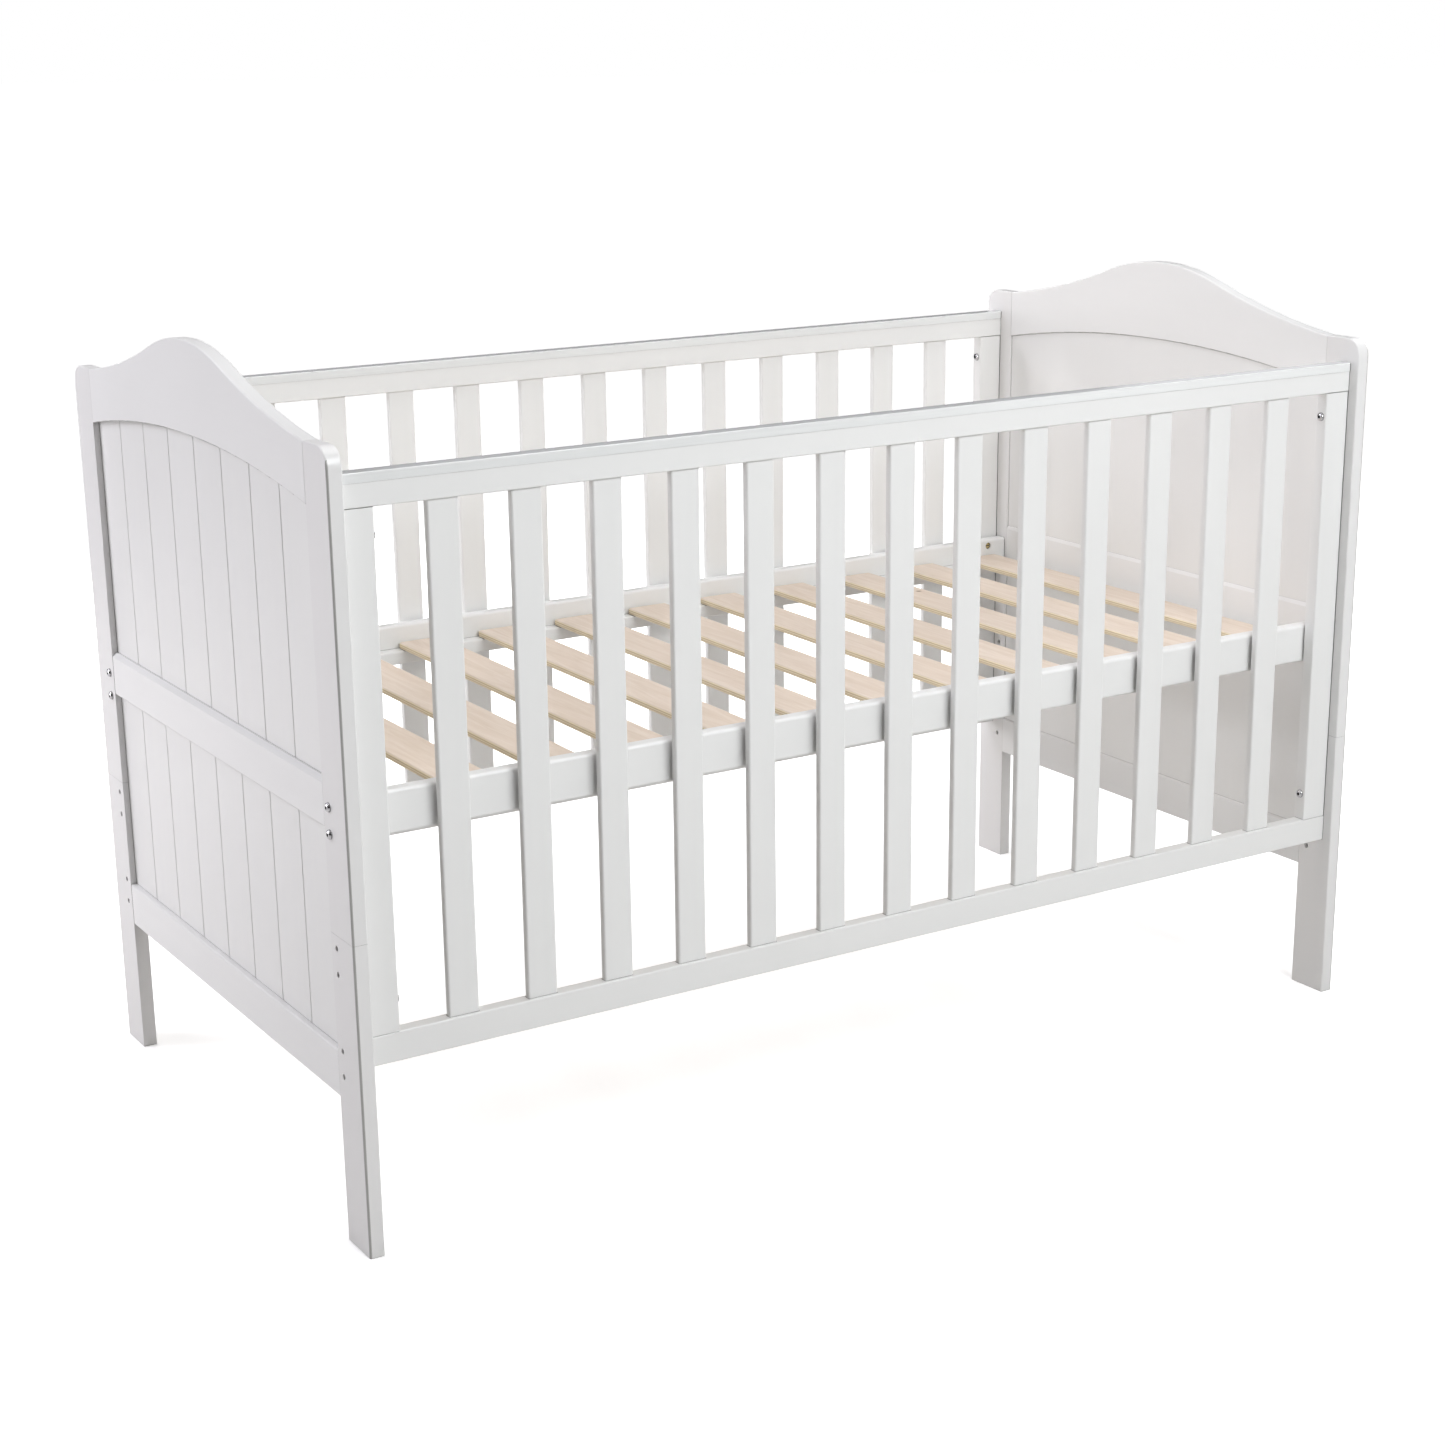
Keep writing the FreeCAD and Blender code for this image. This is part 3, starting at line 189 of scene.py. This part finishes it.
def painted_board(
    name, along, fresh=(0.80, 0.80, 0.79, 1), thin=(0.76, 0.76, 0.755, 1), painted_corner_shade=None, end_rail=False
):
    """Satin white paint over wood whose grain runs along the given axis.

    The outermost corners can get a painted shade line. An end rail gets a painted highlight along its edges
    and painted shade on its underside.
    """
    # Edge tone: on an end rail a painted highlight along the edges, on other boards a greyer film of wear.
    edge = (0.92, 0.92, 0.92, 1) if end_rail else (0.66, 0.66, 0.65, 1)
    material = bpy.data.materials.new(name)
    material.use_nodes = True
    tree = material.node_tree
    shader = tree.nodes["Principled BSDF"]
    place = tree.nodes.new("ShaderNodeTexCoord")
    paint = tree.nodes.new("ShaderNodeGroup")
    paint.node_tree = sprayed_lacquer
    tree.links.new(place.outputs["Object"], paint.inputs["Position"])
    stretch = {"x": (0.35, 6, 6), "y": (6, 0.35, 6), "z": (6, 6, 0.35)}[along]
    paint.inputs["Along Grain"].default_value = stretch
    paint.inputs["Fresh"].default_value = fresh
    paint.inputs["Thin"].default_value = thin
    paint.inputs["Grain"].default_value = 0.12
    edge_wear_and_highlight = tree.nodes.new("ShaderNodeGroup")
    edge_wear_and_highlight.node_tree = board_edge
    tree.links.new(place.outputs["Object"], edge_wear_and_highlight.inputs["Position"])
    share = maths(tree, "MULTIPLY", edge_wear_and_highlight.outputs["Edge"], 0.35)
    colour = blend_colours(tree, share, paint.outputs["Colour"], edge)
    # Painted shade: a dark line down the posts' outermost corners, standing for the shade on their rounded
    # arrises.
    if painted_corner_shade:
        parts = tree.nodes.new("ShaderNodeSeparateXYZ")
        tree.links.new(place.outputs["Object"], parts.inputs[0])
        outer_end = 0.7228
        outer_side = 0.3863
        far_along = maths(tree, "GREATER_THAN", maths(tree, "ABSOLUTE", parts.outputs["X"]), outer_end)
        far_across = maths(tree, "GREATER_THAN", maths(tree, "ABSOLUTE", parts.outputs["Y"]), outer_side)
        corner = maths(tree, "MULTIPLY", far_along, far_across)
        colour = blend_colours(tree, maths(tree, "MULTIPLY", corner, 0.8), colour, painted_corner_shade)
    # Painted shade on an end rail's underside and lower edges, standing for the shadow line under it.
    if end_rail:
        surface = tree.nodes.new("ShaderNodeNewGeometry")
        facing = tree.nodes.new("ShaderNodeSeparateXYZ")
        tree.links.new(surface.outputs["Normal"], facing.inputs[0])
        painted_under_shade = spread(tree, facing.outputs["Z"], -0.75, -0.15, 0.75, 0.0)
        colour = blend_colours(tree, painted_under_shade, colour, (0.25, 0.245, 0.24, 1))
    # Painted shade in joints, grooves and inside corners, where little light reaches.
    joint_shade = tree.nodes.new("ShaderNodeGroup")
    joint_shade.node_tree = crevice_shade
    if end_rail:
        joint_shade.inputs["Open"].default_value = 0.35
        joint_shade.inputs["Shut"].default_value = 0.8
    shade = maths(tree, "MULTIPLY", joint_shade.outputs["Depth"], 0.75)
    colour = blend_colours(tree, shade, colour, (0.17, 0.165, 0.16, 1))
    # Painted shade deep inside bolt and dowel holes.
    bore_shade = tree.nodes.new("ShaderNodeGroup")
    bore_shade.node_tree = crevice_shade
    bore_shade.inputs["Reach"].default_value = 0.015
    bore_shade.inputs["Open"].default_value = 0.84
    bore_shade.inputs["Shut"].default_value = 0.97
    colour = blend_colours(tree, bore_shade.outputs["Depth"], colour, (0.05, 0.045, 0.04, 1))
    tree.links.new(colour, shader.inputs["Base Color"])
    tree.links.new(paint.outputs["Roughness"], shader.inputs["Roughness"])
    bump = tree.nodes.new("ShaderNodeBump")
    bump.inputs["Strength"].default_value = 0.06
    bump.inputs["Distance"].default_value = 0.0003
    tree.links.new(paint.outputs["Height"], bump.inputs["Height"])
    tree.links.new(bump.outputs["Normal"], shader.inputs["Normal"])
    shader.inputs["IOR"].default_value = 1.48
    shader.inputs["Coat Weight"].default_value = 0.15
    shader.inputs["Coat Roughness"].default_value = 0.25
    return material


paint_along_crib = painted_board("white_paint_long_boards", "x")
# The end rails get a slightly lighter copy of the same white paint: painted light.
paint_across = painted_board(
    "white_paint_cross_boards",
    "y",
    fresh=(0.81, 0.81, 0.805, 1),
    thin=(0.77, 0.77, 0.765, 1),
    end_rail=True,
)
paint_upright = painted_board("white_paint_upright_boards", "z")
# The posts get a darker copy of the same white paint: painted shade, as they stand less lit.
paint_posts = painted_board(
    "white_paint_posts",
    "z",
    fresh=(0.775, 0.77, 0.765, 1),
    thin=(0.735, 0.73, 0.725, 1),
    painted_corner_shade=(0.30, 0.295, 0.28, 1),
)


def finish_nodes(material, *names):
    for name in names:
        board = crib[name]
        board.data.materials.clear()
        board.data.materials.append(material)


# ---------------------------------------------------------------- end panels
# Each end has two posts, each in two lengths, three cross rails and two boarded panels let into grooves.
for end in ("left", "right"):
    for corner in ("front", "rear"):
        finish_nodes(paint_posts, f"{end}_{corner}_upper_post", f"{end}_{corner}_leg")
    finish_nodes(paint_across, f"{end}_crest_rail", f"{end}_mid_rail", f"{end}_bottom_rail")
    finish_nodes(paint_upright, f"{end}_upper_panel", f"{end}_lower_panel")

# ---------------------------------------------------------------- slatted sides
# Two rails, two stiles and thirteen spindles, glued up and sprayed as one frame.
for side in ("front", "rear"):
    finish_nodes(paint_along_crib, f"{side}_top_rail", f"{side}_bottom_rail")
    finish_nodes(paint_along_crib, f"base_{side}_rail", f"base_{side}_ledger")
    finish_nodes(paint_upright, f"{side}_left_stile", f"{side}_right_stile", f"{side}_spindles")


# ---------------------------------------------------------------- teething covers
# Clear-white extruded plastic channel, glossier than the paint, clipped over each top rail.
def cover_plastic():
    material = bpy.data.materials.new("teething_cover_plastic")
    material.use_nodes = True
    tree = material.node_tree
    shader = tree.nodes["Principled BSDF"]
    place = tree.nodes.new("ShaderNodeTexCoord")
    drawn = tree.nodes.new("ShaderNodeMapping")
    drawn.inputs["Scale"].default_value = (1.0, 60.0, 60.0)
    tree.links.new(place.outputs["Object"], drawn.inputs["Vector"])
    streaks = add_node(tree, "ShaderNodeTexNoise", Scale=8.0, Detail=3.0)
    tree.links.new(drawn.outputs["Vector"], streaks.inputs["Vector"])
    skirt = blend_colours(tree, streaks.outputs["Fac"], (0.72, 0.73, 0.73, 1), (0.80, 0.81, 0.80, 1))
    surface = tree.nodes.new("ShaderNodeNewGeometry")
    facing = tree.nodes.new("ShaderNodeSeparateXYZ")
    tree.links.new(surface.outputs["Normal"], facing.inputs[0])
    # Painted shade: the flat top of the cover is painted greyer.
    painted_top_shade = spread(tree, facing.outputs["Z"], 0.8, 0.97)
    colour = blend_colours(tree, painted_top_shade, skirt, (0.60, 0.61, 0.615, 1))
    # Painted highlight: a bright line along the cover's edges.
    painted_rim_highlight = tree.nodes.new("ShaderNodeGroup")
    painted_rim_highlight.node_tree = board_edge
    painted_rim_highlight.inputs["Reach"].default_value = 0.0012
    tree.links.new(place.outputs["Object"], painted_rim_highlight.inputs["Position"])
    colour = blend_colours(tree, painted_rim_highlight.outputs["Edge"], colour, (0.93, 0.94, 0.94, 1))
    tree.links.new(colour, shader.inputs["Base Color"])
    rough = spread(tree, streaks.outputs["Fac"], 0.3, 0.7, 0.12, 0.22)
    tree.links.new(rough, shader.inputs["Roughness"])
    bump = add_node(tree, "ShaderNodeBump", Strength=0.1, Distance=0.0003)
    tree.links.new(streaks.outputs["Fac"], bump.inputs["Height"])
    tree.links.new(bump.outputs["Normal"], shader.inputs["Normal"])
    return material


finish_nodes(cover_plastic(), "front_teething_cover", "rear_teething_cover")


# ---------------------------------------------------------------- plywood slats
# Birch ply, sanded and left bare: a pale rotary-cut face, small pin knots, and dark glue lines on the edges.
def birch_ply():
    material = bpy.data.materials.new("birch_plywood")
    material.use_nodes = True
    tree = material.node_tree
    shader = tree.nodes["Principled BSDF"]
    place = tree.nodes.new("ShaderNodeTexCoord")
    drawn = tree.nodes.new("ShaderNodeMapping")
    drawn.inputs["Scale"].default_value = (1.0, 0.09, 1.0)
    tree.links.new(place.outputs["Object"], drawn.inputs["Vector"])
    grain = add_node(tree, "ShaderNodeTexNoise", Scale=90.0, Detail=6.0, Roughness=0.6, Distortion=0.8)
    tree.links.new(drawn.outputs["Vector"], grain.inputs["Vector"])
    face = blend_colours(
        tree, spread(tree, grain.outputs["Fac"], 0.3, 0.7), (0.79, 0.685, 0.59, 1), (0.69, 0.575, 0.47, 1)
    )
    knots = add_node(tree, "ShaderNodeTexVoronoi", Scale=9.0)
    tree.links.new(place.outputs["Object"], knots.inputs["Vector"])
    dark = spread(tree, knots.outputs["Distance"], 0.018, 0.05, 0.8, 0.0)
    face = blend_colours(tree, dark, face, (0.24, 0.15, 0.09, 1))
    parts = tree.nodes.new("ShaderNodeSeparateXYZ")
    tree.links.new(place.outputs["Object"], parts.inputs[0])
    veneer_waves = 2244.0
    ply = maths(tree, "SINE", maths(tree, "MULTIPLY", parts.outputs["Z"], veneer_waves))
    layer = spread(tree, ply, -0.3, 0.3)
    veneer_edge = blend_colours(tree, layer, (0.86, 0.76, 0.54, 1), (0.66, 0.52, 0.35, 1))
    surface = tree.nodes.new("ShaderNodeNewGeometry")
    facing = tree.nodes.new("ShaderNodeSeparateXYZ")
    tree.links.new(surface.outputs["True Normal"], facing.inputs[0])
    sawn = maths(tree, "LESS_THAN", maths(tree, "ABSOLUTE", facing.outputs["Z"]), 0.5)
    face = blend_colours(tree, sawn, face, veneer_edge)
    tree.links.new(face, shader.inputs["Base Color"])
    rough = spread(tree, grain.outputs["Fac"], 0.3, 0.7, 0.5, 0.62)
    tree.links.new(rough, shader.inputs["Roughness"])
    bump = add_node(tree, "ShaderNodeBump", Strength=0.25, Distance=0.0005)
    tree.links.new(grain.outputs["Fac"], bump.inputs["Height"])
    tree.links.new(bump.outputs["Normal"], shader.inputs["Normal"])
    return material


slat_ply = birch_ply()
for number in range(1, 13):
    finish_nodes(slat_ply, f"base_slat_{number:02d}")


# ---------------------------------------------------------------- bolts, nuts and pins
# Bright zinc-plated steel bolts, yellow-plated barrel nuts and inserts, beech dowels and plain steel pins.
def plated_metal(name, bright, dull, low, high):
    material = bpy.data.materials.new(name)
    material.use_nodes = True
    tree = material.node_tree
    shader = tree.nodes["Principled BSDF"]
    place = tree.nodes.new("ShaderNodeTexCoord")
    mottle = add_node(tree, "ShaderNodeTexNoise", Scale=500.0, Detail=4.0)
    tree.links.new(place.outputs["Object"], mottle.inputs["Vector"])
    colour = blend_colours(tree, spread(tree, mottle.outputs["Fac"], 0.35, 0.65), bright, dull)
    # Painted shade in the sockets and recesses of the bolts and nuts.
    socket = tree.nodes.new("ShaderNodeGroup")
    socket.node_tree = crevice_shade
    socket.inputs["Reach"].default_value = 0.004
    socket.inputs["Open"].default_value = 0.25
    colour = blend_colours(tree, socket.outputs["Depth"], colour, (0.03, 0.03, 0.03, 1))
    tree.links.new(colour, shader.inputs["Base Color"])
    tree.links.new(spread(tree, mottle.outputs["Fac"], 0.3, 0.7, low, high), shader.inputs["Roughness"])
    shader.inputs["Metallic"].default_value = 1.0
    return material


bolt_steel = plated_metal("zinc_plated_steel", (0.72, 0.72, 0.74, 1), (0.55, 0.55, 0.57, 1), 0.14, 0.3)
nut_brass = plated_metal("yellow_plated_steel", (0.72, 0.58, 0.30, 1), (0.55, 0.42, 0.2, 1), 0.25, 0.42)
finish_nodes(bolt_steel, "base_bolts", "side_bolts", "slat_pins")
finish_nodes(nut_brass, "base_barrel_nuts", "side_inserts")


def beech_dowel():
    material = bpy.data.materials.new("beech_dowel")
    material.use_nodes = True
    tree = material.node_tree
    shader = tree.nodes["Principled BSDF"]
    place = tree.nodes.new("ShaderNodeTexCoord")
    flecks = add_node(tree, "ShaderNodeTexNoise", Scale=220.0, Detail=5.0)
    tree.links.new(place.outputs["Object"], flecks.inputs["Vector"])
    colour = blend_colours(tree, flecks.outputs["Fac"], (0.72, 0.55, 0.36, 1), (0.58, 0.40, 0.24, 1))
    tree.links.new(colour, shader.inputs["Base Color"])
    tree.links.new(spread(tree, flecks.outputs["Fac"], 0.3, 0.7, 0.55, 0.7), shader.inputs["Roughness"])
    return material


finish_nodes(beech_dowel(), "leg_dowels", "end_rail_dowels", "side_frame_dowels")


# ---------------------------------------------------------------- floor, light and camera
# A wide plain floor, white and evenly lit in the distance, that throws back less light than it shows.
# Broad soft boxes stand overhead, high in front, at several heights on the left and right, and low behind.
def studio_floor():
    mesh = bpy.data.meshes.new("studio_floor")
    reach = 400.0
    corners = [(-reach, -reach, 0), (reach, -reach, 0), (reach, reach, 0), (-reach, reach, 0)]
    mesh.from_pydata(corners, [], [(0, 1, 2, 3)])
    floor = bpy.data.objects.new("studio_floor", mesh)
    bpy.context.scene.collection.objects.link(floor)
    pale = bpy.data.materials.new("studio_floor_white")
    pale.use_nodes = True
    tree = pale.node_tree
    shader = tree.nodes["Principled BSDF"]
    shader.inputs["Roughness"].default_value = 0.9
    shader.inputs["Specular IOR Level"].default_value = 0.05
    path = tree.nodes.new("ShaderNodeLightPath")
    tone = blend_colours(tree, path.outputs["Is Camera Ray"], (0.61, 0.6, 0.585, 1), (0.95, 0.95, 0.95, 1))
    tree.links.new(tone, shader.inputs["Base Color"])
    place = tree.nodes.new("ShaderNodeTexCoord")
    away = tree.nodes.new("ShaderNodeVectorMath")
    away.operation = "LENGTH"
    tree.links.new(place.outputs["Object"], away.inputs[0])
    glow = spread(tree, away.outputs["Value"], 0.6, 3.5, 0.2, 1.0)
    seen_glow = maths(tree, "MULTIPLY", glow, path.outputs["Is Camera Ray"])
    tree.links.new(seen_glow, shader.inputs["Emission Strength"])
    shader.inputs["Emission Color"].default_value = (1, 1, 1, 1)
    mesh.materials.append(pale)


def studio_surround():
    world = bpy.data.worlds.new("studio_surround")
    bpy.context.scene.world = world
    world.use_nodes = True
    tree = world.node_tree
    backdrop = tree.nodes["Background"]
    path = tree.nodes.new("ShaderNodeLightPath")
    tone = blend_colours(tree, path.outputs["Is Camera Ray"], (0.015, 0.012, 0.01, 1), (1, 1, 1, 1))
    tree.links.new(tone, backdrop.inputs["Color"])


SOFT_BOXES = [
    # name, stands at, aimed at, width and height, watts, colour
    ("overhead", (0.0, 0.0, 3.4), (0, 0, 0.4), (3.0, 2.4), 44.7, (1.0, 0.98, 0.98)),
    ("front_high", (0.3, -2.8, 2.2), (0, 0, 0.6), (2.0, 1.4), 76.3, (0.965, 0.985, 1.0)),
    ("left_middle", (-3.4, 0.2, 2.1), (0.2, 0, 0.6), (1.2, 1.0), 21, (0.98, 0.975, 1.0)),
    ("left_rear_top", (-2.3, 1.5, 2.2), (-0.7, 0.2, 0.8), (1.2, 1.2), 31.7, (0.92, 0.915, 1.0)),
    ("right_low", (3.2, -0.6, 1.1), (0.5, 0, 0.6), (1.4, 1.4), 16.8, (1.0, 0.965, 0.945)),
    ("right_high", (2.6, 0.3, 2.4), (0.5, 0, 0.6), (1.6, 1.6), 16.8, (0.94, 0.965, 1.0)),
    ("back_low", (0.0, 3.2, 1.1), (0, 0, 0.6), (2.4, 1.4), 96.0, (1.0, 0.985, 0.985)),
    ("left_rear_low", (-2.3, 1.5, 0.55), (-0.7, 0.39, 0.25), (0.9, 0.7), 12.5, (1.0, 0.97, 1.0)),
    ("front_right_low", (2.4, -2.6, 0.6), (0.5, 0, 0.3), (1.2, 0.8), 4.7, (1, 1, 1)),
]


def soft_box(name, at, aim, size, watts, colour):
    lamp = bpy.data.lights.new(name, "AREA")
    lamp.shape = "RECTANGLE"
    lamp.size, lamp.size_y = size
    lamp.energy = watts
    lamp.color = colour
    holder = bpy.data.objects.new(f"{name}_soft_box", lamp)
    holder.location = at
    holder.rotation_euler = (Vector(aim) - Vector(at)).to_track_quat("-Z", "Y").to_euler()
    holder.visible_glossy = name != "back_low"
    bpy.context.scene.collection.objects.link(holder)


studio_floor()
studio_surround()
for box in SOFT_BOXES:
    soft_box(*box)

lens = bpy.data.cameras.new("camera")
lens.sensor_fit = "HORIZONTAL"
lens.sensor_width = 36.0
lens.lens = 63.596
lens.shift_x = -0.00875
lens.shift_y = 0.03188
lens.clip_end = 50.0
right = Vector((0.8457447, -0.5334921, -0.0100988))
down = Vector((-0.1608485, -0.2368559, -0.9581373))
ahead = Vector((0.5087668, 0.8119639, -0.2861311))
tripod = bpy.data.objects.new("camera", lens)
turn = Matrix((right, -down, -ahead)).transposed().to_4x4()
tripod.matrix_world = Matrix.Translation((-1.72576, -2.75043, 1.31501)) @ turn
bpy.context.scene.collection.objects.link(tripod)
bpy.context.scene.camera = tripod
bpy.context.scene.view_settings.view_transform = "Standard"
